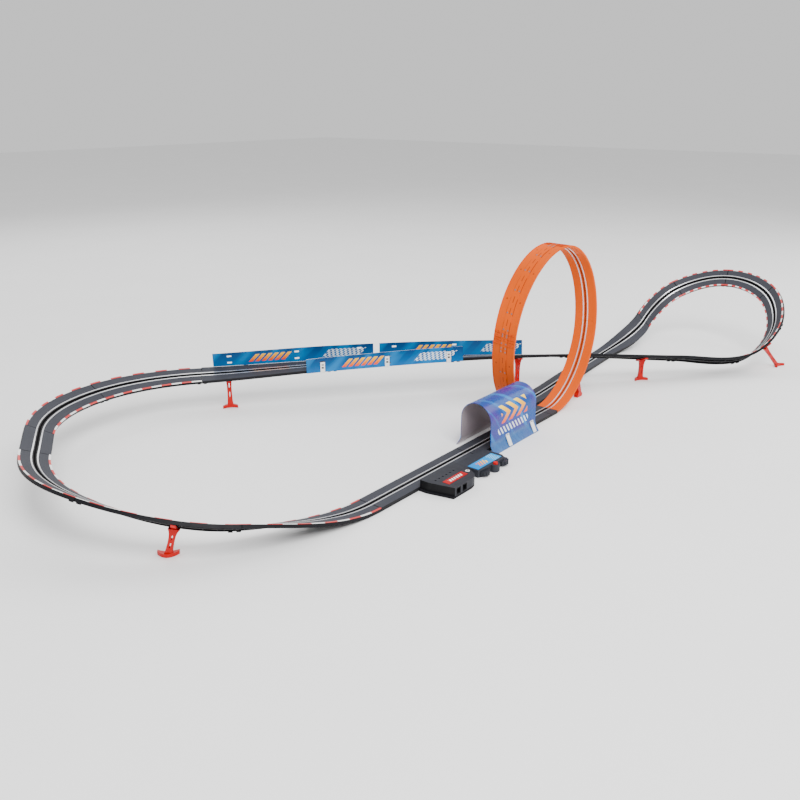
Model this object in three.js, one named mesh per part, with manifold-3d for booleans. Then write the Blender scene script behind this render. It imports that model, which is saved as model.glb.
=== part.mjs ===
// Figure-eight slot car track with a vertical loop, a tunnel, side walls and banked ends.
// Millimetres, +Z up. The floor-level straight that leads into the loop runs along +X. Everything
// is laid out from a point on the floor just before the loop, and centred on its outline last.
import * as THREE from "three";
import { mergeVertices } from "three/addons/utils/BufferGeometryUtils.js";
import Module from "manifold-3d";

const wasm = await Module();
wasm.setup();

// ---------------------------------------------------------------- driving dimensions
const STRAIGHT = 342; // standard straight
const SHORT_STRAIGHT = 114; // a third of a standard straight
const TRACK_WIDTH = 62;
const TRACK_DEPTH = 8; // running surface down to the bottom of the side skirts
const DECK = 2.6; // thickness of the running deck
const SKIRT = 2.2; // thickness of the side skirts
const SLOT_WIDTH = 3;
const SLOT_DEPTH = 5;
const SLOT_WALL = 1.8;
const JOINT_GAP = 0.3; // between two pieces that touch
const STEP_LENGTH = 32; // longest stretch of track between two sections of a sweep

const LEFT_CURVE = 278; // centre-line length of a curve piece of the wide left end
const LEFT_TURN = 47.7; // degrees that it turns
const RIGHT_CURVE = 156; // the same for the tight right end
const RIGHT_TURN = 44.6;
const BRIDGE_CLOSING = 210; // the piece that makes up the length of the bridge
const RAMP_SLOPE = 0.45; // rise over run where the ramp meets the right end

// The loop is a tall oval that moves sideways as it goes round.
const LOOP = {
  start: 35, // from the origin to where its entry leaves the floor
  reach: 146, // half its length along X
  rise: 215, // half its height
  lean: -12, // how far its top lies ahead of its start
  offsets: [0, -21, -3, 46, 72], // of its centre line to the left, at each quarter
};

const WALL_HEIGHT = 41;
const WALL_THICKNESS = 1.4;
const CLIP_THICKNESS = 1.8;
const TUNNEL = {
  start: -305,
  length: 202,
  halfWidth: 41,
  height: 116,
  thickness: 1.4,
  flare: 13, // how far the feet of the sheet splay
  bend: 26, // height from which they splay
};

const COLOURS = {
  track: 0x5c5d66,
  loop: 0xf5803a,
  support: 0xd8141c,
  wall: 0x2a86c0,
  clip: 0xf2f2f0,
  tunnel: 0x3a5fae,
  housing: 0x2c2e36,
  dark: 0x17181c,
  socket: 0x0c0c0e,
  label: 0xc8202a,
  panel: 0x2f9fd4,
  dial: 0x3a3c44,
  lever: 0xe02020,
};

const model = new THREE.Group();

function addMesh(name, geometry, colour, roughness = 0.5) {
  const material = new THREE.MeshStandardMaterial({ color: colour, roughness, metalness: 0 });
  const mesh = new THREE.Mesh(geometry, material);
  mesh.name = name;
  model.add(mesh);
  return mesh;
}

// ---------------------------------------------------------------- solids
function solidOf(geometry) {
  const bare = geometry.clone();
  bare.deleteAttribute("normal");
  bare.deleteAttribute("uv");
  const merged = mergeVertices(bare, 1e-4);
  return new wasm.Manifold(
    new wasm.Mesh({
      numProp: 3,
      vertProperties: merged.attributes.position.array,
      triVerts: new Uint32Array(merged.index.array),
    }),
  );
}

function geometryOf(solid) {
  const mesh = solid.getMesh();
  const geometry = new THREE.BufferGeometry();
  geometry.setAttribute("position", new THREE.BufferAttribute(mesh.vertProperties, 3));
  geometry.setIndex(new THREE.BufferAttribute(mesh.triVerts, 1));
  return geometry;
}

function join(first, ...others) {
  return geometryOf(others.reduce((sum, next) => sum.add(solidOf(next)), solidOf(first)));
}

function cut(body, ...tools) {
  return geometryOf(tools.reduce((rest, tool) => rest.subtract(solidOf(tool)), solidOf(body)));
}

// A box given by its lowest and highest corners.
function box(low, high) {
  const size = high.map((value, axis) => value - low[axis]);
  const middle = high.map((value, axis) => (value + low[axis]) / 2);
  return new THREE.BoxGeometry(...size).translate(...middle);
}

function polygon(points) {
  return new THREE.Shape(points.map(([x, y]) => new THREE.Vector2(x, y)));
}

// ---------------------------------------------------------------- sweeps
// A path that carries its own frame: frameAt(t) gives the point, the tangent, the direction to
// the left across the track, and the direction out of the running surface.
class FramedPath extends THREE.Curve {
  constructor(frameAt) {
    super();
    this.frameAt = frameAt;
  }

  getPoint(t) {
    return this.frameAt(t).point;
  }

  getPointAt(t) {
    return this.getPoint(t);
  }

  getSpacedPoints(divisions) {
    return this.getPoints(divisions);
  }

  computeFrenetFrames(segments) {
    const frames = Array.from({ length: segments + 1 }, (_, i) => this.frameAt(i / segments));
    return {
      tangents: frames.map((frame) => frame.tangent),
      normals: frames.map((frame) => frame.left),
      binormals: frames.map((frame) => frame.up),
    };
  }
}

// The frame of a track whose centre line passes through point along tangent, with its left
// edge raised by the bank angle.
function trackFrame(point, tangent, bank) {
  const level = new THREE.Vector3(0, 0, 1).cross(tangent).normalize();
  const raised = tangent.clone().cross(level);
  const left = level.clone().multiplyScalar(Math.cos(bank)).addScaledVector(raised, Math.sin(bank));
  return { point, tangent, left, up: tangent.clone().cross(left) };
}

function sweep(section, frameAt, steps) {
  return new THREE.ExtrudeGeometry(section, {
    steps,
    bevelEnabled: false,
    extrudePath: new FramedPath(frameAt),
  });
}

// ---------------------------------------------------------------- the track section
// A deck with side skirts, open below, and one slot channel along its middle.
function trackSection() {
  const edge = TRACK_WIDTH / 2;
  const slot = SLOT_WIDTH / 2;
  const half = [
    [slot, -SLOT_DEPTH],
    [slot, 0],
    [edge, 0],
    [edge, -TRACK_DEPTH],
    [edge - SKIRT, -TRACK_DEPTH],
    [edge - SKIRT, -DECK],
    [slot + SLOT_WALL, -DECK],
    [slot + SLOT_WALL, -SLOT_DEPTH - SLOT_WALL],
  ];
  const mirrored = half.map(([x, y]) => [-x, y]).reverse();
  return polygon([...half, ...mirrored]);
}

const SECTION = trackSection();

// ---------------------------------------------------------------- the circuit
// One entry for each piece after the joint at the start of the left end, in the order in which
// they follow each other: its length, its turn (left is positive), and the height of the
// running surface and the bank (left edge up is positive) at its far joint.
const CIRCUIT = [
  { name: "left_curve_1", length: 294, turn: -28.5, height: 52, bank: 31 },
  { name: "left_curve_2", length: LEFT_CURVE, turn: -LEFT_TURN, height: 101, bank: 33 },
  { name: "left_curve_3", length: LEFT_CURVE, turn: -LEFT_TURN, height: 106, bank: 19 },
  { name: "left_short_straight", length: SHORT_STRAIGHT, turn: 0, height: 112, bank: 28 },
  { name: "left_curve_4", length: LEFT_CURVE, turn: -LEFT_TURN, height: 105, bank: 29 },
  { name: "left_curve_5", length: LEFT_CURVE, turn: -LEFT_TURN, height: 98, bank: 19 },
  { name: "bridge_straight_1", length: STRAIGHT, turn: 0, height: 105, bank: 5 },
  { name: "bridge_straight_2", length: STRAIGHT, turn: 0, height: 104, bank: -8 },
  { name: "bridge_straight_3", length: STRAIGHT, turn: 0, height: 91, bank: -18 },
  { name: "bridge_straight_4", length: STRAIGHT, turn: 0, height: 62, bank: -25 },
  { name: "bridge_closing_piece", length: BRIDGE_CLOSING, turn: 0, height: 46, bank: -33 },
  { name: "right_curve_1", length: RIGHT_CURVE, turn: RIGHT_TURN, height: 111, bank: -47 },
  { name: "right_curve_2", length: RIGHT_CURVE, turn: RIGHT_TURN, height: 194, bank: -52 },
  { name: "right_curve_3", length: RIGHT_CURVE, turn: RIGHT_TURN, height: 218, bank: -48 },
  { name: "right_curve_4", length: RIGHT_CURVE, turn: RIGHT_TURN, height: 174, bank: -48 },
  { name: "right_curve_5", length: RIGHT_CURVE, turn: RIGHT_TURN, height: 83, bank: -55 },
];
const START = { x: -2 * STRAIGHT, y: 0, heading: Math.PI, height: TRACK_DEPTH, bank: 0 };

// The joints between the pieces, from START on, each with its distance along the track.
function circuitJoints() {
  const joints = [{ ...START, along: 0 }];
  for (const piece of CIRCUIT) {
    const from = joints.at(-1);
    const to = alongPiece(from, piece, 1);
    to.along = from.along + piece.length;
    to.height = piece.height;
    to.bank = THREE.MathUtils.degToRad(piece.bank);
    joints.push(to);
  }
  return joints;
}

// The plan position and heading at the fraction t of a piece that starts at a joint.
function alongPiece(from, piece, t) {
  const turn = THREE.MathUtils.degToRad(piece.turn);
  const heading = from.heading + turn * t;
  if (turn === 0) {
    const run = piece.length * t;
    const x = from.x + run * Math.cos(from.heading);
    return { x, y: from.y + run * Math.sin(from.heading), heading };
  }
  const radius = piece.length / turn;
  const x = from.x + radius * (Math.sin(heading) - Math.sin(from.heading));
  return { x, y: from.y - radius * (Math.cos(heading) - Math.cos(from.heading)), heading };
}

const JOINTS = circuitJoints();

// A value that the joints hold, carried smoothly from joint to joint, and its slope.
function smoothValue(index, t, key) {
  const slopeAt = (k) => {
    if (k === 0) return 0;
    if (k === JOINTS.length - 1) return key === "height" ? -RAMP_SLOPE : 0;
    const [before, after] = [JOINTS[k - 1], JOINTS[k + 1]];
    return (after[key] - before[key]) / (after.along - before.along);
  };
  const [from, to] = [JOINTS[index], JOINTS[index + 1]];
  const span = to.along - from.along;
  const [a, b] = [slopeAt(index) * span, slopeAt(index + 1) * span];
  const rise = to[key] - from[key];
  const value = from[key] + a * t + (3 * rise - 2 * a - b) * t ** 2 + (a + b - 2 * rise) * t ** 3;
  const slope = a + 2 * (3 * rise - 2 * a - b) * t + 3 * (a + b - 2 * rise) * t ** 2;
  return { value, slope: slope / span };
}

function circuitFrame(index, t) {
  const plan = alongPiece(JOINTS[index], CIRCUIT[index], t);
  const height = smoothValue(index, t, "height");
  const bank = smoothValue(index, t, "bank").value;
  const tangent = new THREE.Vector3(Math.cos(plan.heading), Math.sin(plan.heading), height.slope);
  return trackFrame(new THREE.Vector3(plan.x, plan.y, height.value), tangent.normalize(), bank);
}

// Sweeps a section along a piece, leaving half the joint gap free at each end.
function sweepPiece(section, frameAt, length, spare = JOINT_GAP / 2) {
  const inset = spare / length;
  const steps = Math.ceil(length / STEP_LENGTH);
  return sweep(section, (t) => frameAt(inset + t * (1 - 2 * inset)), steps);
}

CIRCUIT.forEach((piece, index) => {
  const geometry = sweepPiece(SECTION, (t) => circuitFrame(index, t), piece.length);
  addMesh(piece.name, geometry, COLOURS.track);
});

// ---------------------------------------------------------------- the floor-level straights
// A straight or gently bending piece between two plan points with headings given.
function linkFrame(from, to) {
  const span = Math.hypot(to.x - from.x, to.y - from.y);
  const lead = (end) =>
    new THREE.Vector3(Math.cos(end.heading), Math.sin(end.heading), end.slope).multiplyScalar(span);
  const [a, b] = [lead(from), lead(to)];
  const rise = new THREE.Vector3(to.x - from.x, to.y - from.y, to.height - from.height);
  const bankRise = to.bank - from.bank;
  return (t) => {
    const [t2, t3] = [t * t, t ** 3];
    const point = new THREE.Vector3(from.x, from.y, from.height)
      .addScaledVector(a, t - 2 * t2 + t3)
      .addScaledVector(rise, 3 * t2 - 2 * t3)
      .addScaledVector(b, t3 - t2);
    const tangent = new THREE.Vector3()
      .addScaledVector(a, 1 - 4 * t + 3 * t2)
      .addScaledVector(rise, 6 * t - 6 * t2)
      .addScaledVector(b, 3 * t2 - 2 * t)
      .normalize();
    return trackFrame(point, tangent, from.bank + bankRise * (3 * t2 - 2 * t3));
  };
}

function addLink(name, from, to) {
  const length = Math.hypot(to.x - from.x, to.y - from.y);
  addMesh(name, sweepPiece(SECTION, linkFrame(from, to), length), COLOURS.track);
}

const floorPoint = (x, y, heading) => ({ x, y, heading, height: TRACK_DEPTH, bank: 0, slope: 0 });
const ENTRY = [-2 * STRAIGHT, -STRAIGHT, 0, LOOP.start].map((x) => floorPoint(x, 0, 0));
addLink("control_straight", ENTRY[0], ENTRY[1]);
addLink("tunnel_straight", ENTRY[1], ENTRY[2]);
addLink("loop_entry", ENTRY[2], ENTRY[3]);

const EXIT_HEADING = THREE.MathUtils.degToRad(4.5);
const EXIT_RUNS = [0, STRAIGHT, STRAIGHT + 2 * SHORT_STRAIGHT];
const EXIT = EXIT_RUNS.map((run, index) =>
  floorPoint(
    LOOP.start + run * Math.cos(EXIT_HEADING),
    LOOP.offsets.at(-1) + run * Math.sin(EXIT_HEADING),
    index === 0 ? 0 : EXIT_HEADING,
  ),
);
addLink("exit_straight_1", EXIT[0], EXIT[1]);
addLink("exit_straight_2", EXIT[1], EXIT[2]);
const rampTop = JOINTS.at(-1);
const rampEnd = { ...rampTop, heading: rampTop.heading - Math.PI, bank: -rampTop.bank };
addLink("ramp", EXIT[2], { ...rampEnd, slope: RAMP_SLOPE });

// ---------------------------------------------------------------- the loop
// The sideways place of the loop's centre line at an angle measured up from its start.
function loopOffset(angle) {
  const quarters = (angle * 2) / Math.PI;
  const index = Math.max(0, Math.min(Math.floor(quarters), 3));
  const t = quarters - index;
  const { offsets } = LOOP;
  const slopeAt = (k) => (k === 0 || k === 4 ? 0 : (offsets[k + 1] - offsets[k - 1]) / 2);
  const [a, b] = [slopeAt(index), slopeAt(index + 1)];
  const rise = offsets[index + 1] - offsets[index];
  return offsets[index] + a * t + (3 * rise - 2 * a - b) * t ** 2 + (a + b - 2 * rise) * t ** 3;
}

function loopFrame(angle) {
  const pointAt = (a) =>
    new THREE.Vector3(
      LOOP.start + LOOP.reach * Math.sin(a) + (LOOP.lean * (1 - Math.cos(a))) / 2,
      loopOffset(a),
      TRACK_DEPTH + LOOP.rise * (1 - Math.cos(a)),
    );
  const nudge = 1e-4;
  const tangent = pointAt(angle + nudge).sub(pointAt(angle - nudge)).normalize();
  const across = new THREE.Vector3(0, 1, 0);
  const left = across.addScaledVector(tangent, -across.dot(tangent)).normalize();
  return { point: pointAt(angle), tangent, left, up: tangent.clone().cross(left) };
}

const QUARTER = Math.PI / 2;
for (let quarter = 0; quarter < 4; quarter += 1) {
  const length = ((LOOP.reach + LOOP.rise) / 2) * QUARTER;
  const frameAt = (t) => loopFrame((quarter + t) * QUARTER);
  addMesh(`loop_quarter_${quarter + 1}`, sweepPiece(SECTION, frameAt, length), COLOURS.loop);
}

// ---------------------------------------------------------------- supports
const SUPPORT = {
  footWidth: 40,
  footDepth: 22,
  footRim: 6, // depth of the foot at its two tips
  footHeight: 7,
  poleFoot: 19,
  poleWaist: 12,
  poleTop: 22,
  waistHeight: 0.56, // share of the pole's height, as are the flares and the windows
  flareEnd: 0.12,
  flareStart: 0.88,
  windows: [
    [0.32, 0.5],
    [0.62, 0.78],
  ],
  windowWidth: 2.6,
  thickness: 8,
  headLength: 56,
  headDepth: 9,
  headHeight: 4,
  headGap: 0.7, // leaves room for the twist of the track over the head
};

// The waisted pole with its long windows, standing on y = 0, with its top cut to a slope.
function poleShape(height, topSlope) {
  const [foot, waist, top] = [SUPPORT.poleFoot / 2, SUPPORT.poleWaist / 2, SUPPORT.poleTop / 2];
  const flareEnd = height * SUPPORT.flareEnd;
  const flareStart = height * SUPPORT.flareStart;
  const waistHeight = height * SUPPORT.waistHeight;
  const shape = new THREE.Shape();
  shape.moveTo(-foot, 0);
  shape.lineTo(foot, 0);
  shape.quadraticCurveTo(waist, flareEnd, waist, waistHeight);
  shape.quadraticCurveTo(waist, flareStart, top, height + top * topSlope);
  shape.lineTo(-top, height - top * topSlope);
  shape.quadraticCurveTo(-waist, flareStart, -waist, waistHeight);
  shape.quadraticCurveTo(-waist, flareEnd, -foot, 0);
  const half = SUPPORT.windowWidth / 2;
  for (const [low, high] of SUPPORT.windows) {
    const window = new THREE.Path();
    window.moveTo(-half, height * low);
    window.lineTo(-half, height * high);
    window.lineTo(half, height * high);
    window.lineTo(half, height * low);
    shape.holes.push(window);
  }
  return shape;
}

// The foot is a crescent seen from above.
function footShape() {
  const { footWidth, footDepth, footRim } = SUPPORT;
  const [tip, front] = [footWidth / 2, footDepth / 2];
  const shape = new THREE.Shape();
  shape.moveTo(-tip, -front);
  shape.quadraticCurveTo(0, front / 5, tip, -front);
  shape.lineTo(tip, footRim - front);
  shape.quadraticCurveTo(0, footDepth, -tip, footRim - front);
  return shape;
}

// Stands a support under the track at a frame. Its flat head lies along the underside of the
// track. Its foot stands below the head, or a little further along and to the left, and the
// pole leans to suit.
function addSupport(name, { point, tangent, left, up }, [footAlong, footLeft] = [0, 0]) {
  const { footHeight, thickness, headLength, headDepth, headHeight, headGap } = SUPPORT;
  const drop = TRACK_DEPTH + headGap + headHeight / 2;
  const top = point.clone().addScaledVector(up, -drop);
  const turn = Math.atan2(tangent.y, tangent.x);
  const along = new THREE.Vector3(Math.cos(turn), Math.sin(turn), 0);
  const side = new THREE.Vector3(-along.y, along.x, 0);
  const climb = -up.dot(along) / up.z;
  const tilt = -up.dot(side) / up.z;
  const [leanAlong, leanSide] = [-footAlong / top.z, -footLeft / top.z];
  const place = top
    .clone()
    .addScaledVector(along, footAlong)
    .addScaledVector(side, footLeft)
    .setZ(0);

  const foot = new THREE.ExtrudeGeometry(footShape(), { depth: footHeight, bevelEnabled: false });
  const poleHeight = top.z - (thickness / 2) * Math.abs(tilt) + headHeight / 4;
  const pole = new THREE.ExtrudeGeometry(poleShape(poleHeight, climb / (1 - leanAlong * climb)), {
    depth: thickness,
    bevelEnabled: false,
  })
    .rotateX(Math.PI / 2)
    .translate(0, thickness / 2, 0)
    .applyMatrix4(new THREE.Matrix4().makeShear(0, 0, 0, 0, leanAlong, leanSide));
  const head = new THREE.BoxGeometry(headDepth, headLength, headHeight)
    .applyMatrix4(new THREE.Matrix4().makeBasis(tangent, left, up))
    .translate(...top.clone().sub(place))
    .rotateZ(-turn);
  const mesh = addMesh(name, join(foot, pole, head).rotateZ(turn), COLOURS.support, 0.35);
  mesh.position.copy(place);
}

const pieceIndex = (name) => CIRCUIT.findIndex((piece) => piece.name === name);
addSupport("support_left_near", circuitFrame(pieceIndex("left_curve_2"), 0.39), [20, -15]);
addSupport("support_left_far", circuitFrame(pieceIndex("bridge_straight_1"), 0.2));
addSupport("support_bridge_middle", circuitFrame(pieceIndex("bridge_straight_3"), 0.56));
addSupport("support_bridge_end", circuitFrame(pieceIndex("bridge_straight_4"), 0.68));
addSupport("support_right_end", circuitFrame(pieceIndex("right_curve_1"), 0.57), [72, -12]);

// The brace that holds the rising side of the loop from in front. It touches the loop between
// two angles, and its foot lies between two places along X.
const BRACE = { width: 12, from: 48, to: 58, footStart: 178, footEnd: 204, waist: 16, shift: 4 };

function braceGeometry() {
  const { width, from, to, footStart, footEnd, waist, shift } = BRACE;
  const contact = [from, (from + to) / 2, to].map((degrees) => {
    const { point, up } = loopFrame(THREE.MathUtils.degToRad(degrees));
    const rest = point.clone().addScaledVector(up, -TRACK_DEPTH - SUPPORT.headGap);
    return [rest.x, rest.z];
  });
  const { footHeight } = SUPPORT;
  const outline = [
    ...contact,
    [footEnd - waist / 2, waist],
    [footEnd, footHeight],
    [footEnd, 0],
    [footStart, 0],
    [footStart, footHeight],
    [footStart + waist / 3, waist],
  ];
  return new THREE.ExtrudeGeometry(polygon(outline), { depth: width, bevelEnabled: false })
    .rotateX(Math.PI / 2)
    .translate(0, width / 2 + shift + loopOffset(THREE.MathUtils.degToRad((from + to) / 2)), 0);
}

addMesh("loop_brace", braceGeometry(), COLOURS.support, 0.35);

// ---------------------------------------------------------------- side walls
// A thin printed sheet that stands on one side of the bridge and follows its twist. Each
// stretch is a first and a last place, counted in straights from the start of the bridge, and
// how far the sheet reaches below the running surface.
const WALLS = [
  { name: "wall_far_left", side: 1, from: 0.09, to: 1.36, drop: 0 },
  { name: "wall_far_right", side: 1, from: 1.41, to: 2.63, drop: 0 },
  { name: "wall_near", side: -1, from: 0.8, to: 2.06, drop: 8 },
];

const BRIDGE_START = pieceIndex("bridge_straight_1");

function bridgeFrame(place) {
  const piece = Math.min(Math.floor(place), 3);
  return circuitFrame(BRIDGE_START + piece, place - piece);
}

function wallSection(side, drop) {
  const inner = (side * TRACK_WIDTH) / 2 + side * JOINT_GAP;
  const outer = inner + side * WALL_THICKNESS;
  return polygon([
    [inner, -drop],
    [outer, -drop],
    [outer, WALL_HEIGHT - drop],
    [inner, WALL_HEIGHT - drop],
  ]);
}

for (const { name, side, from, to, drop } of WALLS) {
  const frameAt = (t) => bridgeFrame(from + t * (to - from));
  addMesh(name, sweep(wallSection(side, drop), frameAt, 14), COLOURS.wall);
}

// A clip that hooks under the track and presses the foot of a wall against its edge.
const WALL_CLIPS = [
  { name: "wall_clip_1", side: -1, place: 0.925 },
  { name: "wall_clip_2", side: -1, place: 1.437 },
  { name: "wall_clip_3", side: -1, place: 1.94 },
  { name: "wall_clip_4", side: 1, place: 0.34 },
  { name: "wall_clip_5", side: 1, place: 1.2 },
  { name: "wall_clip_6", side: 1, place: 2.4 },
];
const CLIP = { width: 12, rise: 21, hook: 7 };

function clipSection(side) {
  const inner = side * (TRACK_WIDTH / 2 + WALL_THICKNESS + 2 * JOINT_GAP);
  const outer = inner + side * CLIP_THICKNESS;
  const hook = inner - side * CLIP.hook;
  const shelf = -TRACK_DEPTH - JOINT_GAP;
  return polygon([
    [inner, CLIP.rise],
    [outer, CLIP.rise],
    [outer, shelf - CLIP_THICKNESS],
    [hook, shelf - CLIP_THICKNESS],
    [hook, shelf],
    [inner, shelf],
  ]);
}

for (const { name, side, place } of WALL_CLIPS) {
  const span = CLIP.width / STRAIGHT;
  const frameAt = (t) => bridgeFrame(place + (t - 0.5) * span);
  addMesh(name, sweep(clipSection(side), frameAt, 1), COLOURS.clip, 0.35);
}

// ---------------------------------------------------------------- tunnel
// An arched sheet over the road with its two feet splayed outwards.
function tunnelProfile() {
  const { halfWidth, height, thickness, flare, bend } = TUNNEL;
  const arcSteps = 14;
  const outline = (offset) => {
    const points = [[halfWidth + flare + offset, 0]];
    points.push([halfWidth + offset, bend]);
    const rise = height - halfWidth;
    for (let step = 0; step <= arcSteps; step += 1) {
      const angle = (Math.PI * step) / arcSteps;
      const reach = halfWidth + offset;
      points.push([reach * Math.cos(angle), rise + reach * Math.sin(angle)]);
    }
    points.push([-halfWidth - offset, bend]);
    points.push([-halfWidth - flare - offset, 0]);
    return points;
  };
  return polygon([...outline(thickness), ...outline(0).reverse()]);
}

const tunnel = new THREE.ExtrudeGeometry(tunnelProfile(), {
  depth: TUNNEL.length,
  bevelEnabled: false,
})
  .rotateX(Math.PI / 2)
  .rotateZ(Math.PI / 2)
  .translate(TUNNEL.start, 0, 0);
addMesh("tunnel_sheet", tunnel, COLOURS.tunnel, 0.35);

// The clips that press the near foot of the sheet down follow its bend.
const TUNNEL_CLIP = { width: 13, low: 3, high: 30, places: [-234, -122] };

function tunnelClipGeometry() {
  const { halfWidth, thickness, flare, bend } = TUNNEL;
  const { width, low, high } = TUNNEL_CLIP;
  const face = -halfWidth - thickness - JOINT_GAP;
  const splayed = face - flare * (1 - low / bend);
  const outline = polygon([
    [splayed, low],
    [face, bend],
    [face, high],
    [face - CLIP_THICKNESS, high],
    [face - CLIP_THICKNESS, bend],
    [splayed - CLIP_THICKNESS, low],
  ]);
  return new THREE.ExtrudeGeometry(outline, { depth: width, bevelEnabled: false })
    .rotateX(Math.PI / 2)
    .rotateZ(Math.PI / 2);
}

for (const [index, x] of TUNNEL_CLIP.places.entries()) {
  const mesh = addMesh(`tunnel_clip_${index + 1}`, tunnelClipGeometry(), COLOURS.clip, 0.35);
  mesh.position.x = x - TUNNEL_CLIP.width / 2;
}

// ---------------------------------------------------------------- control unit
const UNIT = {
  height: 24,
  baseHeight: 5,
  endRecess: 4, // how far the cover stands back from the base at its left end
  socketSize: 15,
  socketHole: 11.4,
  socketDepth: 14,
  socketBack: 2, // thickness behind the hole
  socketHeight: 14,
  ventRadius: 2.4,
  ventDepth: 2,
  ventY: -58,
  vents: [-540, -527, -514, -501, -488, -475],
};
const SOCKETS = [
  { name: "socket_left", x: -531 },
  { name: "socket_right", x: -509 },
];
const trackSide = -TRACK_WIDTH / 2 - JOINT_GAP;
const FRONT = -112;

// The outline of the unit seen from above, with its rounded corner at the front.
function unitOutline(inset) {
  const shape = new THREE.Shape();
  shape.moveTo(-562 + inset, trackSide);
  shape.lineTo(-562 + inset, -52);
  shape.lineTo(-548 + inset, FRONT);
  shape.lineTo(-488, FRONT);
  shape.quadraticCurveTo(-464, FRONT, -456, -98);
  shape.lineTo(-438, -64);
  shape.lineTo(-438, trackSide);
  return shape;
}

function prism(shape, bottom, top) {
  const depth = top - bottom;
  return new THREE.ExtrudeGeometry(shape, { depth, bevelEnabled: false }).translate(0, 0, bottom);
}

function disc(radius, bottom, top, sides = 24) {
  return new THREE.CylinderGeometry(radius, radius, top - bottom, sides)
    .rotateX(Math.PI / 2)
    .translate(0, 0, (bottom + top) / 2);
}

const LABEL = { low: [-537, -92], high: [-469, -74], thickness: 0.8, recess: 0.5 };

function unitCover() {
  const { height, baseHeight, endRecess, socketSize, socketDepth, socketHeight } = UNIT;
  const body = prism(unitOutline(endRecess), baseHeight + JOINT_GAP, height);
  const half = socketSize / 2 + JOINT_GAP;
  const pockets = SOCKETS.map(({ x }) =>
    box(
      [x - half, FRONT - 1, socketHeight - half],
      [x + half, FRONT + socketDepth + JOINT_GAP, socketHeight + half],
    ),
  );
  const vents = UNIT.vents.map((x) =>
    disc(UNIT.ventRadius, height - UNIT.ventDepth, height + 1, 16).translate(x, UNIT.ventY, 0),
  );
  const gap = JOINT_GAP;
  const recess = box(
    [LABEL.low[0] - gap, LABEL.low[1] - gap, height - LABEL.recess],
    [LABEL.high[0] + gap, LABEL.high[1] + gap, height + 1],
  );
  return cut(body, ...pockets, ...vents, recess);
}

function socketGeometry(x) {
  const { socketSize, socketHole, socketDepth, socketBack, socketHeight } = UNIT;
  const [outer, inner] = [socketSize / 2, socketHole / 2];
  const body = box(
    [x - outer, FRONT, socketHeight - outer],
    [x + outer, FRONT + socketDepth, socketHeight + outer],
  );
  const hole = box(
    [x - inner, FRONT - 1, socketHeight - inner],
    [x + inner, FRONT + socketDepth - socketBack, socketHeight + inner],
  );
  return cut(body, hole);
}

addMesh("control_base", prism(unitOutline(0), 0, UNIT.baseHeight), COLOURS.dark);
addMesh("control_cover", unitCover(), COLOURS.housing);
for (const { name, x } of SOCKETS) addMesh(name, socketGeometry(x), COLOURS.socket);
const labelBottom = UNIT.height - LABEL.recess + JOINT_GAP;
addMesh(
  "control_label",
  box([...LABEL.low, labelBottom], [...LABEL.high, labelBottom + LABEL.thickness]),
  COLOURS.label,
  0.3,
);

// ---------------------------------------------------------------- lap counter
const COUNTER = {
  height: 17,
  floor: 3,
  ceiling: 13,
  pin: 2.5,
  buttonTravel: 1.5,
  buttonSize: 11,
};
const DIALS = [
  { name: "counter_dial_left", x: -410, y: -93, radius: 15 },
  { name: "counter_dial_right", x: -336, y: -92, radius: 17 },
];
const BUTTON = { x: -374, y: -101, bottom: 12, top: 21 };
const GRIPS = 12; // notches round a dial
const PIN_CLEARANCE = 0.08;

// A thumb wheel with a notched rim and a hole for its pin, standing on the XY plane.
function dialGeometry(radius) {
  const { floor, ceiling, pin } = COUNTER;
  const notch = radius * 0.12;
  const notches = Array.from({ length: GRIPS }, (_, index) => {
    const angle = (2 * Math.PI * index) / GRIPS;
    return disc(notch, -1, ceiling - floor, 8).translate(
      radius * Math.cos(angle),
      radius * Math.sin(angle),
      0,
    );
  });
  const height = ceiling - floor - 2 * JOINT_GAP;
  return cut(disc(radius, 0, height, 36), disc(pin + PIN_CLEARANCE, -1, height + 1), ...notches);
}

function counterHousing() {
  const { height, floor, ceiling, pin, buttonSize, buttonTravel } = COUNTER;
  const shape = new THREE.Shape();
  shape.moveTo(-430, trackSide);
  shape.lineTo(-430, -92);
  shape.quadraticCurveTo(-420, -98, -396, -97);
  shape.lineTo(-386, -97);
  shape.quadraticCurveTo(-386, -110, -374, -110);
  shape.quadraticCurveTo(-362, -110, -362, -98);
  shape.lineTo(-350, -98);
  shape.quadraticCurveTo(-330, -102, -321, -84);
  shape.lineTo(-321, trackSide);
  const pocketsAndWell = [
    ...DIALS.map(({ x, y, radius }) => disc(radius + 1, floor, ceiling, 36).translate(x, y, 0)),
    disc(buttonSize / 2 + JOINT_GAP, BUTTON.bottom - buttonTravel - JOINT_GAP, height + 1).translate(
      BUTTON.x,
      BUTTON.y,
      0,
    ),
  ];
  const pins = DIALS.map(({ x, y }) => disc(pin, floor - 1, ceiling + 1).translate(x, y, 0));
  return join(cut(prism(shape, 0, height), ...pocketsAndWell), ...pins);
}

addMesh("counter_housing", counterHousing(), COLOURS.housing);
for (const { name, x, y, radius } of DIALS) {
  const mesh = addMesh(name, dialGeometry(radius), COLOURS.dial);
  mesh.position.set(x, y, COUNTER.floor + JOINT_GAP);
}
const buttonGeometry = join(
  disc(COUNTER.buttonSize / 2, 0, BUTTON.top - BUTTON.bottom - 3),
  disc(COUNTER.buttonSize / 2 - 0.5, 1, BUTTON.top - BUTTON.bottom),
);
addMesh("counter_button", buttonGeometry, COLOURS.lever, 0.35).position.set(
  BUTTON.x,
  BUTTON.y,
  BUTTON.bottom,
);
const panelBottom = COUNTER.height + JOINT_GAP;
addMesh(
  "counter_label",
  box([-426, -90, panelBottom], [-333, -62, panelBottom + LABEL.thickness]),
  COLOURS.panel,
  0.3,
);

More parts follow.
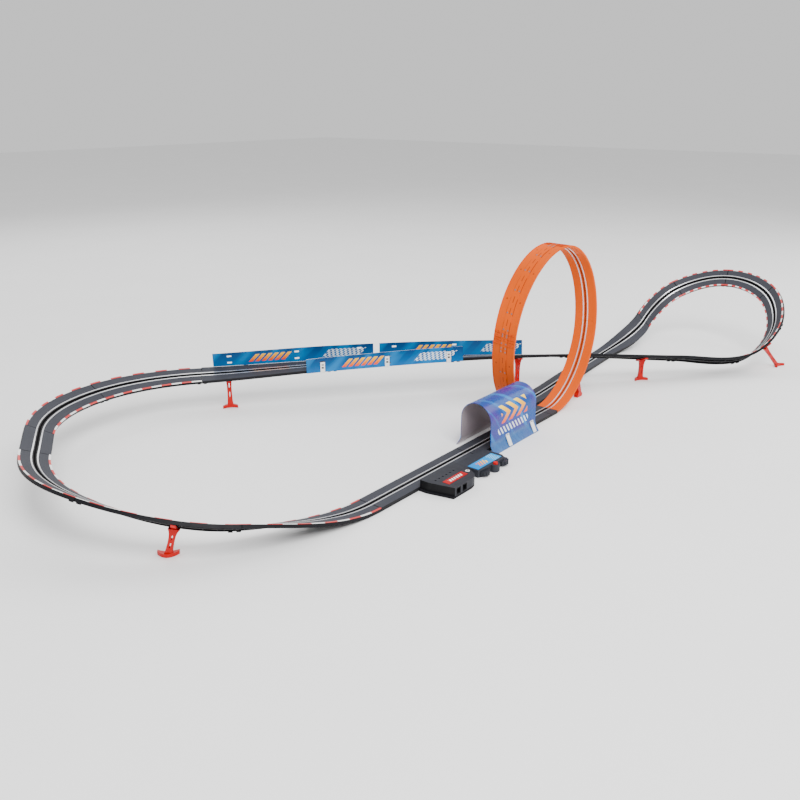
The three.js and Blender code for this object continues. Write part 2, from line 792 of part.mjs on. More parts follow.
// ---------------------------------------------------------------- the frame of the part
// The finished set is moved so that the origin is on the floor at the middle of its outline.
const middle = new THREE.Box3().setFromObject(model).getCenter(new THREE.Vector3());
for (const mesh of model.children) {
  mesh.position.x -= middle.x;
  mesh.position.y -= middle.y;
}

export default model;
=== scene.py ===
import math

import bmesh
import bpy
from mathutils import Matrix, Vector


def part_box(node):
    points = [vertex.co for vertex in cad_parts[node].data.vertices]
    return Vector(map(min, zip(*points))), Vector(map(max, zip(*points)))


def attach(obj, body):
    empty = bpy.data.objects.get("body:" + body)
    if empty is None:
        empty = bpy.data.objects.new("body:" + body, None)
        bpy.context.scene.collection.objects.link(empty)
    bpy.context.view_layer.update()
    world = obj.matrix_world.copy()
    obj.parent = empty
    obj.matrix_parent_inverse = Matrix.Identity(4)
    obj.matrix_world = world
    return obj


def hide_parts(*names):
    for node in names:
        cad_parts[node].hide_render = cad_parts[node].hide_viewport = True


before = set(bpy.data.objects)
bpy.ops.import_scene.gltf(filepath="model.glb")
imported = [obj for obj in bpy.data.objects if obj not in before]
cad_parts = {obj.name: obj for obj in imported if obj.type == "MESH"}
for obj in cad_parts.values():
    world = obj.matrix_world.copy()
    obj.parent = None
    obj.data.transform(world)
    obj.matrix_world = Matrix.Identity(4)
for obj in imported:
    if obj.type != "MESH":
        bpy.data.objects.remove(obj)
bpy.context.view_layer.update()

# ---------------------------------------------------------------- layout, in millimetres
MM = 0.001
STRAIGHT = 342.0
SHORT_STRAIGHT = 114.0
TRACK_WIDTH = 62.0
TRACK_DEPTH = 8.0
JOINT_GAP = 0.3
RAMP_SLOPE = 0.45
CLOSING_PIECE = 210.0
FIRST_CURVE, FIRST_TURN = 294.0, 28.5
LEFT_CURVE, LEFT_TURN = 278.0, 47.7
RIGHT_CURVE, RIGHT_TURN = 156.0, 44.6
LOOP_START, LOOP_REACH, LOOP_RISE, LOOP_LEAN = 35.0, 146.0, 215.0, -12.0
LOOP_OFFSETS = (0.0, -21.0, -3.0, 46.0, 72.0)
WALL_HEIGHT = 41.0
WALL_THICKNESS = 1.4
TUNNEL = dict(start=-305.0, length=202.0, half=41.0, height=116.0, thickness=1.4, bend=26.0)
TUNNEL_FLARE = 13.0
CLIP_THICKNESS = 1.8
NEAR_CLIPS = (0.925, 1.437, 1.94)
TUNNEL_CLIPS = (-234, -122)
UNIT_EDGE = -562.0  # the control unit's left edge before the set was centred on its outline

# The set is centred on its outline, so its own layout is shifted by this much.
TRACK_EDGE = -TRACK_WIDTH / 2 - JOINT_GAP
UNIT_LOW, UNIT_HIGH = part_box("control_base")
SHIFT = Vector((UNIT_LOW[0] / MM - UNIT_EDGE, UNIT_HIGH[1] / MM - TRACK_EDGE, 0))

# Each piece's name, length and turn in degrees, with the height and the bank at its far end.
CIRCUIT = [
    ("left_curve_1", FIRST_CURVE, -FIRST_TURN, 52, 31),
    ("left_curve_2", LEFT_CURVE, -LEFT_TURN, 101, 33),
    ("left_curve_3", LEFT_CURVE, -LEFT_TURN, 106, 19),
    ("left_short_straight", SHORT_STRAIGHT, 0, 112, 28),
    ("left_curve_4", LEFT_CURVE, -LEFT_TURN, 105, 29),
    ("left_curve_5", LEFT_CURVE, -LEFT_TURN, 98, 19),
    ("bridge_straight_1", STRAIGHT, 0, 105, 5),
    ("bridge_straight_2", STRAIGHT, 0, 104, -8),
    ("bridge_straight_3", STRAIGHT, 0, 91, -18),
    ("bridge_straight_4", STRAIGHT, 0, 62, -25),
    ("bridge_closing_piece", CLOSING_PIECE, 0, 46, -33),
    ("right_curve_1", RIGHT_CURVE, RIGHT_TURN, 111, -47),
    ("right_curve_2", RIGHT_CURVE, RIGHT_TURN, 194, -52),
    ("right_curve_3", RIGHT_CURVE, RIGHT_TURN, 218, -48),
    ("right_curve_4", RIGHT_CURVE, RIGHT_TURN, 174, -48),
    ("right_curve_5", RIGHT_CURVE, RIGHT_TURN, 83, -55),
]


def along_piece(start, length, turn, t):
    """The plan position and heading part of the way along a straight or an arc."""
    x, y, heading = start
    if turn == 0:
        return x + length * t * math.cos(heading), y + length * t * math.sin(heading), heading
    angle = math.radians(turn)
    radius = length / angle
    end = heading + angle * t
    x += radius * (math.sin(end) - math.sin(heading))
    return x, y - radius * (math.cos(end) - math.cos(heading)), end


def circuit_joints():
    """The plan, distance, height and bank at every joint of the circuit."""
    joints = [dict(plan=(-2 * STRAIGHT, 0.0, math.pi), along=0.0, height=TRACK_DEPTH, bank=0.0)]
    for _, length, turn, height, bank in CIRCUIT:
        last = joints[-1]
        joints.append(
            dict(
                plan=along_piece(last["plan"], length, turn, 1),
                along=last["along"] + length,
                height=height,
                bank=math.radians(bank),
            )
        )
    return joints


JOINTS = circuit_joints()


def smooth(index, t, key):
    """A joint value carried smoothly from joint to joint, and its slope."""

    def slope_at(k):
        if k == 0:
            return 0.0
        if k == len(JOINTS) - 1:
            return -RAMP_SLOPE if key == "height" else 0.0
        before, after = JOINTS[k - 1], JOINTS[k + 1]
        return (after[key] - before[key]) / (after["along"] - before["along"])

    start, end = JOINTS[index], JOINTS[index + 1]
    span = end["along"] - start["along"]
    a, b = slope_at(index) * span, slope_at(index + 1) * span
    rise = end[key] - start[key]
    value = start[key] + a * t + (3 * rise - 2 * a - b) * t**2 + (a + b - 2 * rise) * t**3
    slope = a + 2 * (3 * rise - 2 * a - b) * t + 3 * (a + b - 2 * rise) * t**2
    return value, slope / span


def track_frame(point, tangent, bank):
    """A point of the road's middle with its directions: along, left and up."""
    level = Vector((0, 0, 1)).cross(tangent).normalized()
    raised = tangent.cross(level)
    left = level * math.cos(bank) + raised * math.sin(bank)
    return point, tangent, left, tangent.cross(left)


def circuit_frame(index, t):
    """The frame part of the way along one of the circuit's pieces."""
    _, length, turn, _, _ = CIRCUIT[index]
    x, y, heading = along_piece(JOINTS[index]["plan"], length, turn, t)
    height, slope = smooth(index, t, "height")
    bank, _ = smooth(index, t, "bank")
    tangent = Vector((math.cos(heading), math.sin(heading), slope)).normalized()
    return track_frame(Vector((x, y, height)), tangent, bank)


def link_frame(start, end):
    """The frame along a gently bending piece between two ends: (x, y, z, heading, slope, bank)."""
    span = math.hypot(end[0] - start[0], end[1] - start[1])
    a, b = (Vector((math.cos(e[3]), math.sin(e[3]), e[4])) * span for e in (start, end))
    origin = Vector(start[:3])
    rise = Vector(end[:3]) - origin

    def frame_at(t):
        ease = 3 * t * t - 2 * t**3
        point = origin + a * (t - 2 * t * t + t**3) + rise * ease + b * (t**3 - t * t)
        tangent = a * (1 - 4 * t + 3 * t * t) + rise * (6 * t - 6 * t * t) + b * (3 * t * t - 2 * t)
        bank = start[5] + (end[5] - start[5]) * ease
        return track_frame(point, tangent.normalized(), bank)

    return frame_at, span


def loop_offset(angle):
    """How far to the left the loop stands at an angle from its start."""
    quarters = angle * 2 / math.pi
    index = max(0, min(math.floor(quarters), 3))
    t = quarters - index
    slope_at = lambda k: 0.0 if k in (0, 4) else (LOOP_OFFSETS[k + 1] - LOOP_OFFSETS[k - 1]) / 2
    a, b = slope_at(index), slope_at(index + 1)
    rise = LOOP_OFFSETS[index + 1] - LOOP_OFFSETS[index]
    return LOOP_OFFSETS[index] + a * t + (3 * rise - 2 * a - b) * t**2 + (a + b - 2 * rise) * t**3


def loop_frame(angle):
    """The frame on the loop at an angle from its start."""

    def point_at(a):
        lift = 1 - math.cos(a)
        x = LOOP_START + LOOP_REACH * math.sin(a) + LOOP_LEAN * lift / 2
        return Vector((x, loop_offset(a), TRACK_DEPTH + LOOP_RISE * lift))

    nudge = 1e-4
    tangent = (point_at(angle + nudge) - point_at(angle - nudge)).normalized()
    across = Vector((0, 1, 0))
    left = (across - tangent * across.dot(tangent)).normalized()
    return point_at(angle), tangent, left, tangent.cross(left)


EXIT_HEADING = math.radians(4.5)


def exit_point(run, heading):
    x = LOOP_START + run * math.cos(EXIT_HEADING)
    y = LOOP_OFFSETS[-1] + run * math.sin(EXIT_HEADING)
    return (x, y, TRACK_DEPTH, heading, 0.0, 0.0)


def floor_point(x):
    return (x, 0.0, TRACK_DEPTH, 0.0, 0.0, 0.0)


CIRCUIT_END = JOINTS[-1]
RAMP_END = (
    CIRCUIT_END["plan"][0],
    CIRCUIT_END["plan"][1],
    CIRCUIT_END["height"],
    CIRCUIT_END["plan"][2] - math.pi,
    RAMP_SLOPE,
    -CIRCUIT_END["bank"],
)
EXITS = [
    exit_point(0, 0.0),
    exit_point(STRAIGHT, EXIT_HEADING),
    exit_point(STRAIGHT + 2 * SHORT_STRAIGHT, EXIT_HEADING),
]
LINKS = [
    ("control_straight", floor_point(-2 * STRAIGHT), floor_point(-STRAIGHT)),
    ("tunnel_straight", floor_point(-STRAIGHT), floor_point(0)),
    ("loop_entry", floor_point(0), floor_point(LOOP_START)),
    ("exit_straight_1", EXITS[0], EXITS[1]),
    ("exit_straight_2", EXITS[1], EXITS[2]),
    ("ramp", EXITS[2], RAMP_END),
]


def list_roads():
    """Every stretch of road: name, frame, length, has kerbs, stands clear of the floor."""
    roads = []
    for index, (name, length, *_) in enumerate(CIRCUIT):
        frame_at = lambda t, i=index: circuit_frame(i, t)
        roads.append((name, frame_at, length, "curve" in name, True))
    for name, start, end in LINKS:
        frame_at, span = link_frame(start, end)
        roads.append((name, frame_at, span, False, name == "ramp"))
    return roads


# ---------------------------------------------------------------- mesh helpers
SEAM_WIDTH = 0.9
SHARP_ANGLE = math.radians(32)
DISC_TAPER = 0.82


def place(point):
    """Turns a layout point in mm into the set's own frame in metres."""
    return (point + SHIFT) * MM


def finish_mesh(name, bm, materials, body="set"):
    """Makes an object of a mesh, smooth but for its sharp edges, and rides it on a body."""
    bmesh.ops.recalc_face_normals(bm, faces=bm.faces)
    mesh = bpy.data.meshes.new(name)
    bm.to_mesh(mesh)
    bm.free()
    for material in materials:
        mesh.materials.append(material)
    mesh.polygons.foreach_set("use_smooth", [True] * len(mesh.polygons))
    mesh.set_sharp_from_angle(angle=SHARP_ANGLE)
    piece = bpy.data.objects.new(name, mesh)
    bpy.context.scene.collection.objects.link(piece)
    if body:
        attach(piece, body)
    return piece


def sweep_into(bm, section, frame_at, length, steps, inset=0.0, kinds=None, across=None, seam=None):
    """Sweeps a closed section given as (left, up) points, in mm, and leaves an inset free at both
    ends. The UV map holds the distance along the piece in metres and, in metres too, the place
    across it. A seam is a narrow ring at each end whose faces all have one kind."""
    uv = bm.loops.layers.uv.verify()
    stations = [i / steps for i in range(steps + 1)]
    if seam:
        width = SEAM_WIDTH / length
        stations[1:1] = [width]
        stations[-1:-1] = [1 - width]
    runs = [inset / length + t * (1 - 2 * inset / length) for t in stations]
    rings = []
    for t in runs:
        point, _, left, up = frame_at(t)
        rings.append([bm.verts.new(place(point + left * x + up * y)) for x, y in section])
    across = across or [x for x, _ in section]
    count = len(section)
    last = len(rings) - 1
    for i in range(last):
        for k in range(count):
            j = (k + 1) % count
            face = bm.faces.new((rings[i][k], rings[i][j], rings[i + 1][j], rings[i + 1][k]))
            if kinds:
                face.material_index = kinds[k]
            if seam and i in (0, last - 1):
                face.material_index = seam
            for loop, (u, v) in zip(face.loops, ((i, k), (i, j), (i + 1, j), (i + 1, k))):
                loop[uv].uv = (runs[u] * length * MM, across[v] * MM)
    for i in (0, last):
        cap = bm.faces.new(rings[i])
        cap.material_index = seam or 0
        for k, loop in enumerate(cap.loops):
            loop[uv].uv = (runs[i] * length * MM, across[k] * MM)


def block_into(bm, frame_at, t, low, high, kind=0):
    """A small block in the frame at t: low and high are (along, left, up) in mm."""
    point, tangent, left, up = frame_at(t)
    corners = []
    for a in (low[0], high[0]):
        for x, y in ((low[1], low[2]), (high[1], low[2]), (high[1], high[2]), (low[1], high[2])):
            corners.append(bm.verts.new(place(point + tangent * a + left * x + up * y)))
    sides = ((0, 1, 2, 3), (7, 6, 5, 4), (0, 4, 5, 1), (1, 5, 6, 2), (2, 6, 7, 3), (3, 7, 4, 0))
    for side in sides:
        bm.faces.new([corners[k] for k in side]).material_index = kind


def disc_into(bm, frame_at, t, x, radius, low, high, sides=12, kind=0):
    """A short round stud standing square to the running surface."""
    point, tangent, left, up = frame_at(t)
    rings = []
    for level, reach in ((low, radius), (high, radius * DISC_TAPER)):
        ring = []
        for k in range(sides):
            angle = 2 * math.pi * k / sides
            offset = tangent * (reach * math.cos(angle)) + left * (x + reach * math.sin(angle))
            ring.append(bm.verts.new(place(point + offset + up * level)))
        rings.append(ring)
    for k in range(sides):
        j = (k + 1) % sides
        bm.faces.new((rings[0][k], rings[0][j], rings[1][j], rings[1][k])).material_index = kind
    for ring in rings:
        bm.faces.new(ring).material_index = kind


def mirrored(half):
    """A closed section from the points of its left half."""
    return half + [(-x, y) for x, y in reversed(half)]


# ---------------------------------------------------------------- materials
BUMP_STRENGTH = 0.6


class Nodes:
    """A material's node tree with short calls for the nodes it needs."""

    def __init__(self, name, roughness, metallic=0.0, specular=0.5):
        self.material = bpy.data.materials.new(name)
        self.material.use_nodes = True
        self.tree = self.material.node_tree
        self.shader = self.tree.nodes["Principled BSDF"]
        self.shader.inputs["Roughness"].default_value = roughness
        self.shader.inputs["Metallic"].default_value = metallic
        self.shader.inputs["Specular IOR Level"].default_value = specular

    def link(self, source, target):
        self.tree.links.new(source, target)

    def value(self, source, target):
        if isinstance(source, (int, float)):
            target.default_value = source
        else:
            self.link(source, target)

    def object_place(self):
        return self.tree.nodes.new("ShaderNodeTexCoord").outputs["Object"]

    def uv(self):
        node = self.tree.nodes.new("ShaderNodeSeparateXYZ")
        self.link(self.tree.nodes.new("ShaderNodeTexCoord").outputs["UV"], node.inputs[0])
        return node.outputs[0], node.outputs[1]

    def xyz(self):
        node = self.tree.nodes.new("ShaderNodeSeparateXYZ")
        self.link(self.object_place(), node.inputs[0])
        return node.outputs

    def combine(self, x, y):
        node = self.tree.nodes.new("ShaderNodeCombineXYZ")
        for source, target in zip((x, y), node.inputs):
            self.value(source, target)
        return node.outputs[0]

    def math(self, operation, *values):
        node = self.tree.nodes.new("ShaderNodeMath")
        node.operation = operation
        for source, target in zip(values, node.inputs):
            self.value(source, target)
        return node.outputs[0]

    def noise(self, scale, where=None, detail=4.0):
        node = self.tree.nodes.new("ShaderNodeTexNoise")
        node.inputs["Scale"].default_value = scale
        node.inputs["Detail"].default_value = detail
        self.link(where or self.object_place(), node.inputs["Vector"])
        return node.outputs["Fac"]

    def range(self, source, low, high, to_low=0.0, to_high=1.0):
        node = self.tree.nodes.new("ShaderNodeMapRange")
        limits = {"From Min": low, "From Max": high, "To Min": to_low, "To Max": to_high}
        for key, number in limits.items():
            node.inputs[key].default_value = number
        self.link(source, node.inputs["Value"])
        return node.outputs["Result"]

    def spread(self, noise, to_low=0.0, to_high=1.0):
        """The middle of a noise's range, stretched between two values."""
        return self.range(noise, 0.3, 0.7, to_low, to_high)

    def mottled(self, scale, first, second, detail=4.0):
        """Two colours mixed by soft noise."""
        return self.mix(self.spread(self.noise(scale, detail=detail)), first, second)

    def mix(self, factor, first, second):
        node = self.tree.nodes.new("ShaderNodeMix")
        node.data_type = "RGBA"
        self.value(factor, node.inputs[0])
        for source, target in ((first, node.inputs[6]), (second, node.inputs[7])):
            if isinstance(source, tuple):
                target.default_value = (*source, 1.0)
            else:
                self.link(source, target)
        return node.outputs[2]

    def band(self, source, low, high):
        """1 between low and high, 0 outside."""
        above = self.math("GREATER_THAN", source, low)
        return self.math("MULTIPLY", above, self.math("LESS_THAN", source, high))

    def product(self, first, *factors):
        for factor in factors:
            first = self.math("MULTIPLY", first, factor)
        return first

    def noise_over(self, x, x_scale, y, y_scale, detail):
        """Noise over two coordinates, each with a scale of its own."""
        where = self.combine(self.product(x, x_scale), self.product(y, y_scale))
        return self.noise(1.0, where, detail)

    def slanted(self, x, y, slope):
        """The first coordinate moved along by the second, so that bands over it lean."""
        return self.math("SUBTRACT", x, self.product(y, slope))

    def within(self, x, x_low, x_high, y, y_low, y_high):
        """1 inside a rectangle, 0 outside."""
        return self.product(self.band(x, x_low, x_high), self.band(y, y_low, y_high))

    def stripes(self, source, period, share, phase=0.0):
        """1 over a share of each period."""
        scaled = self.math("ADD", self.math("DIVIDE", source, period), phase)
        return self.math("LESS_THAN", self.math("FRACT", scaled), share)

    def done(self, colour, bump=None, depth=0.0, roughness=None):
        """Links a colour, and where given a bump with its depth and a roughness."""
        self.link(colour, self.shader.inputs["Base Color"])
        if roughness is not None:
            self.link(roughness, self.shader.inputs["Roughness"])
        if bump is not None:
            node = self.tree.nodes.new("ShaderNodeBump")
            node.inputs["Strength"].default_value = BUMP_STRENGTH
            node.inputs["Distance"].default_value = depth
            self.link(bump, node.inputs["Height"])
            self.link(node.outputs[0], self.shader.inputs["Normal"])
        return self.material


def shade(colour, factor):
    return tuple(min(1.0, channel * factor) for channel in colour)


# Lengths in the materials are in metres.
FINE_GRAIN, GRAIN_DEPTH = 900.0, 0.00012
PRINT_DEPTH = 0.00005
ROAD_GREY = (0.034, 0.036, 0.046)
CHANNEL_BLACK = (0.004, 0.004, 0.005)
CHANNEL_HALF, CHANNEL_BLEND = 0.0050, 0.0003  # the black strip between the rails
KERB_RED, KERB_WHITE, KERB_SOIL = (0.56, 0.018, 0.016), (0.80, 0.79, 0.78), (0.25, 0.2, 0.2)
LEFT_KERB_PERIOD, RIGHT_KERB_PERIOD = 0.0556, 0.0284
ORANGE = (0.66, 0.088, 0.0)
ORANGE_SHADE = (0.30, 0.035, 0.003)
ORANGE_CHANNEL = (0.62, 0.07, 0.004)
WALL_REPEAT = 0.430
WALL_PRINT_BAND = (0.009, 0.031)
WALL_CHECK = 0.0116
TUNNEL_FOLD = 0.088  # how far up the sheet the chevrons point


def plastic(name, colour, roughness, grain=FINE_GRAIN, variation=0.12, specular=0.35):
    """Moulded plastic: slight flow marks in the colour and a fine mould grain."""
    m = Nodes(name, roughness, specular=specular)
    speck = m.noise(grain)
    tone = m.mottled(9.0, shade(colour, 1 - variation), shade(colour, 1 + variation), detail=3.0)
    tone = m.mix(m.range(speck, 0.35, 0.65, 0.0, 0.25), tone, shade(colour, 0.75))
    rough = m.spread(m.noise(60.0), roughness - 0.07, roughness + 0.08)
    return m.done(tone, speck, GRAIN_DEPTH, rough)


def road_material():
    """Satin track plastic with a fine grain and faint streaks along the driving line."""
    m = Nodes("track_plastic_look", 0.5, specular=0.2)
    u, v = m.uv()
    streaks = m.noise_over(u, 5.0, v, 900.0, 2.0)
    speck = m.noise(1400.0)
    tone = m.mottled(6.0, shade(ROAD_GREY, 0.88), shade(ROAD_GREY, 1.12))
    tone = m.mix(m.spread(speck, 0.0, 0.35), tone, shade(ROAD_GREY, 0.6))
    tone = m.mix(m.range(streaks, 0.5, 0.8, 0.0, 0.25), tone, shade(ROAD_GREY, 1.6))
    reach = m.math("ABSOLUTE", v)
    channel = m.range(reach, CHANNEL_HALF - CHANNEL_BLEND, CHANNEL_HALF, 1.0, 0.0)
    tone = m.mix(channel, tone, CHANNEL_BLACK)
    return m.done(tone, speck, 0.00015, m.spread(speck, 0.46, 0.64))


def kerb_material(name, period):
    """Red and white dashes of equal length."""
    m = Nodes(name, 0.4)
    u, _ = m.uv()
    tone = m.mix(m.stripes(u, period, 0.5), KERB_WHITE, KERB_RED)
    tone = m.mix(m.range(m.noise(500.0), 0.55, 0.8, 0.0, 0.25), tone, KERB_SOIL)
    return m.done(tone, m.noise(FINE_GRAIN), 0.0001)


def rail_material():
    """Bright metal, brushed along the rail."""
    m = Nodes("rail_metal", 0.28, metallic=0.75)
    u, v = m.uv()
    brushed = m.noise_over(u, 14.0, v, 4200.0, 3.0)
    tone = m.mix(m.spread(brushed), (0.62, 0.63, 0.66), (0.93, 0.93, 0.95))
    return m.done(tone, brushed, 0.00004, m.spread(brushed, 0.2, 0.38))


def loop_material(name, outer):
    """Orange loop plastic. Its outer face has broken lines along the middle and small marks beside
    them, painted in a darker orange as shade for the moulded relief; its running face has a darker
    strip between the rails."""
    m = Nodes(name, 0.5, specular=0.08)
    u, v = m.uv()
    reach = m.math("ABSOLUTE", v)
    tone = m.mottled(7.0, shade(ORANGE, 0.9), shade(ORANGE, 1.1))
    if outer:
        # the lines, the spine and the marks are painted shade for the moulded relief on the outer
        # face
        lines = m.product(m.band(reach, 0.0090, 0.0104), m.stripes(u, 0.050, 0.74, 0.1))
        spine = m.product(m.band(reach, 0.0, 0.0012), m.stripes(u, 0.025, 0.55, 0.35))
        marks = m.product(m.band(reach, 0.0175, 0.0215), m.stripes(u, 0.071, 0.05, 0.2))
        relief_shade = m.math("MAXIMUM", m.math("MAXIMUM", lines, spine), marks)
        tone = m.mix(m.product(relief_shade, 0.85), tone, ORANGE_SHADE)
    else:
        tone = m.mix(m.range(reach, 0.0044, 0.0047, 0.8, 0.0), tone, ORANGE_CHANNEL)
    speck = m.noise(1000.0)
    tone = m.mix(m.spread(speck, 0.0, 0.15), tone, shade(ORANGE, 0.8))
    return m.done(tone, speck, GRAIN_DEPTH, m.spread(m.noise(50.0), 0.36, 0.5))


def wall_material():
    """Printed card: a blue ground that darkens upwards, slanted bars and a chequered patch."""
    m = Nodes("wall_print", 0.4, specular=0.2)
    u, v = m.uv()
    tone = m.mix(m.range(v, 0.0, WALL_HEIGHT * MM), (0.0, 0.115, 0.34), (0.0, 0.036, 0.135))
    slant = m.slanted(u, v, 0.9)
    sweep = m.noise_over(slant, 26.0, v, 9.0, 1.0)
    tone = m.mix(m.range(sweep, 0.42, 0.62, 0.0, 0.7), tone, (0.0, 0.185, 0.46))
    along = m.math("FRACT", m.math("DIVIDE", slant, WALL_REPEAT))
    bars = m.within(along, 0.20, 0.44, v, *WALL_PRINT_BAND)
    bars = m.product(bars, m.stripes(slant, 0.0172, 0.62))
    warm = m.mix(m.range(v, 0.010, 0.030), (0.85, 0.04, 0.003), (0.95, 0.50, 0.006))
    tone = m.mix(bars, tone, warm)
    columns, rows = m.stripes(slant, WALL_CHECK, 0.5), m.stripes(v, WALL_CHECK, 0.5)
    checks = m.math("ABSOLUTE", m.math("SUBTRACT", columns, rows))
    checks = m.product(checks, m.within(along, 0.66, 0.90, v, *WALL_PRINT_BAND), 0.85)
    tone = m.mix(checks, tone, (0.80, 0.88, 0.93))
    return m.done(tone, m.noise(700.0), PRINT_DEPTH, m.spread(m.noise(80.0), 0.3, 0.44))


def tunnel_material():
    """Printed card: blue with purple sweeps, bright slanted streaks and warm chevrons."""
    m = Nodes("tunnel_print", 0.38, specular=0.22)
    u, v = m.uv()
    clouds = m.noise_over(u, 9.0, v, 16.0, 2.0)
    tone = m.mix(m.range(clouds, 0.42, 0.62), (0.0, 0.062, 0.27), (0.060, 0.024, 0.24))
    slant = m.slanted(u, v, -0.7)
    streaks = m.noise_over(slant, 46.0, u, 3.0, 1.0)
    tone = m.mix(m.range(streaks, 0.54, 0.66, 0.0, 0.8), tone, (0.006, 0.18, 0.50))
    foot = m.range(v, 0.026, 0.034, 0.75, 0.0)
    tone = m.mix(foot, tone, (0.05, 0.13, 0.30))
    from_fold = m.math("ABSOLUTE", m.math("SUBTRACT", v, TUNNEL_FOLD))
    chevron = m.slanted(u, from_fold, -1.2)
    arrows = m.product(m.stripes(chevron, 0.034, 0.5), m.within(u, 0.045, 0.160, v, 0.066, 0.110))
    warm = m.mix(m.range(v, 0.068, 0.108), (0.85, 0.08, 0.02), (0.96, 0.66, 0.04))
    tone = m.mix(arrows, tone, warm)
    dashes = m.product(m.stripes(slant, 0.013, 0.45), m.within(u, 0.03, 0.165, v, 0.040, 0.058))
    tone = m.mix(m.product(dashes, 0.85), tone, (0.80, 0.88, 0.95))
    return m.done(tone, m.noise(600.0), PRINT_DEPTH, m.spread(m.noise(60.0), 0.2, 0.34))


def panel_material():
    """The lap counter's label: a light blue print with slanted bars."""
    m = Nodes("counter_print", 0.4, specular=0.15)
    x, y, _ = m.xyz()
    low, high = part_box("counter_label")
    slant = m.slanted(x, y, 0.7)
    tone = m.mix(m.range(x, low[0], high[0]), (0.0, 0.20, 0.55), (0.0, 0.30, 0.68))
    start, end = low[0] + 0.020, low[0] + 0.052
    field = m.within(x, start, end, y, low[1] + 0.006, high[1] - 0.006)
    warm = m.mix(m.range(x, start, end), (0.80, 0.10, 0.01), (0.96, 0.62, 0.03))
    tone = m.mix(m.product(m.stripes(slant, 0.0085, 0.55), field), tone, warm)
    pale = m.product(m.band(x, high[0] - 0.026, high[0] - 0.006), m.stripes(slant, 0.006, 0.4), 0.5)
    tone = m.mix(pale, tone, (0.55, 0.80, 0.92))
    return m.done(tone, m.noise(700.0), 0.00004)


def label_material():
    """The control unit's red label with plain white bars."""
    m = Nodes("control_print", 0.4, specular=0.15)
    x, y, _ = m.xyz()
    low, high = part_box("control_label")
    tone = m.mottled(30.0, (0.32, 0.002, 0.004), (0.40, 0.003, 0.006))
    field = m.within(x, low[0] + 0.012, high[0] - 0.010, y, low[1] + 0.005, high[1] - 0.005)
    bars = m.product(m.stripes(m.slanted(x, y, 0.5), 0.0076, 0.6), field)
    tone = m.mix(bars, tone, (0.82, 0.80, 0.80))
    return m.done(tone, m.noise(600.0), 0.00004)


def cover_material():
    """The cover's plastic, black on the end that faces away from the loop."""
    m = Nodes("cover_look", 0.5, specular=0.15)
    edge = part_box("control_cover")[0][0] + 0.0006
    facing = m.tree.nodes.new("ShaderNodeSeparateXYZ")
    m.link(m.tree.nodes.new("ShaderNodeNewGeometry").outputs["True Normal"], facing.inputs[0])
    faces_away = m.math("LESS_THAN", facing.outputs[0], -0.85)
    at_end = m.math("MAXIMUM", faces_away, m.math("LESS_THAN", m.xyz()[0], edge))
    speck = m.noise(FINE_GRAIN)
    tone = m.mottled(9.0, (0.020, 0.021, 0.027), (0.030, 0.031, 0.038))
    tone = m.mix(m.range(speck, 0.35, 0.65, 0.0, 0.25), tone, (0.014, 0.015, 0.018))
    tone = m.mix(at_end, tone, (0.004, 0.004, 0.005))
    return m.done(tone, speck, GRAIN_DEPTH, m.spread(m.noise(60.0), 0.46, 0.6))


road = road_material()
skirt = plastic("track_edge_look", (0.007, 0.007, 0.009), 0.5, variation=0.1, specular=0.15)
# near black: painted shade for the road's slot, the seam rings at the piece ends, the sockets and
# the clip slots
recess_shade = plastic("slot_shade_look", (0.003, 0.003, 0.004), 0.7, variation=0.1, specular=0.1)
kerb_left = kerb_material("kerb_paint_left", LEFT_KERB_PERIOD)
kerb_right = kerb_material("kerb_paint_right", RIGHT_KERB_PERIOD)
rail = rail_material()
orange = loop_material("loop_running_look", outer=False)
orange_back = loop_material("loop_outer_look", outer=True)
# darker orange: painted shade in the loop's slot
orange_slot_shade = plastic("loop_slot_shade_look", (0.30, 0.035, 0.004), 0.45)
stud_metal = plastic("tab_metal_look", (0.16, 0.13, 0.12), 0.35)
red = plastic("support_red_look", (0.50, 0.0, 0.0), 0.38, variation=0.1, specular=0.2)
white = plastic("clip_white_look", (0.80, 0.80, 0.79), 0.35, variation=0.05)
wall_print = wall_material()
wall_edge = plastic("card_edge_look", (0.55, 0.62, 0.66), 0.5)
tunnel_print = tunnel_material()
tunnel_inside = plastic("tunnel_inside_look", (0.36, 0.31, 0.34), 0.38, grain=300.0)
housing = plastic("housing_look", (0.026, 0.028, 0.036), 0.5, specular=0.15)
base = plastic("base_look", (0.006, 0.006, 0.008), 0.6, specular=0.1)
dial = plastic("dial_look", (0.016, 0.018, 0.024), 0.42, specular=0.2)

# ---------------------------------------------------------------- the road pieces
DECK, SKIRT_WIDTH, SLOT_HALF = 2.6, 2.2, 1.5
ROAD_EDGE = TRACK_WIDTH / 2
ROAD_HALF = [
    (SLOT_HALF, -5.0),
    (SLOT_HALF, -0.5),
    (SLOT_HALF + 0.5, 0.0),
    (ROAD_EDGE - 0.7, 0.0),
    (ROAD_EDGE, -0.6),
    (ROAD_EDGE, -TRACK_DEPTH),
    (ROAD_EDGE - SKIRT_WIDTH, -TRACK_DEPTH),
    (ROAD_EDGE - SKIRT_WIDTH, -DECK),
    (SLOT_HALF + 1.8, -DECK),
    (SLOT_HALF + 1.8, -6.8),
]
ROAD_SECTION = mirrored(ROAD_HALF)
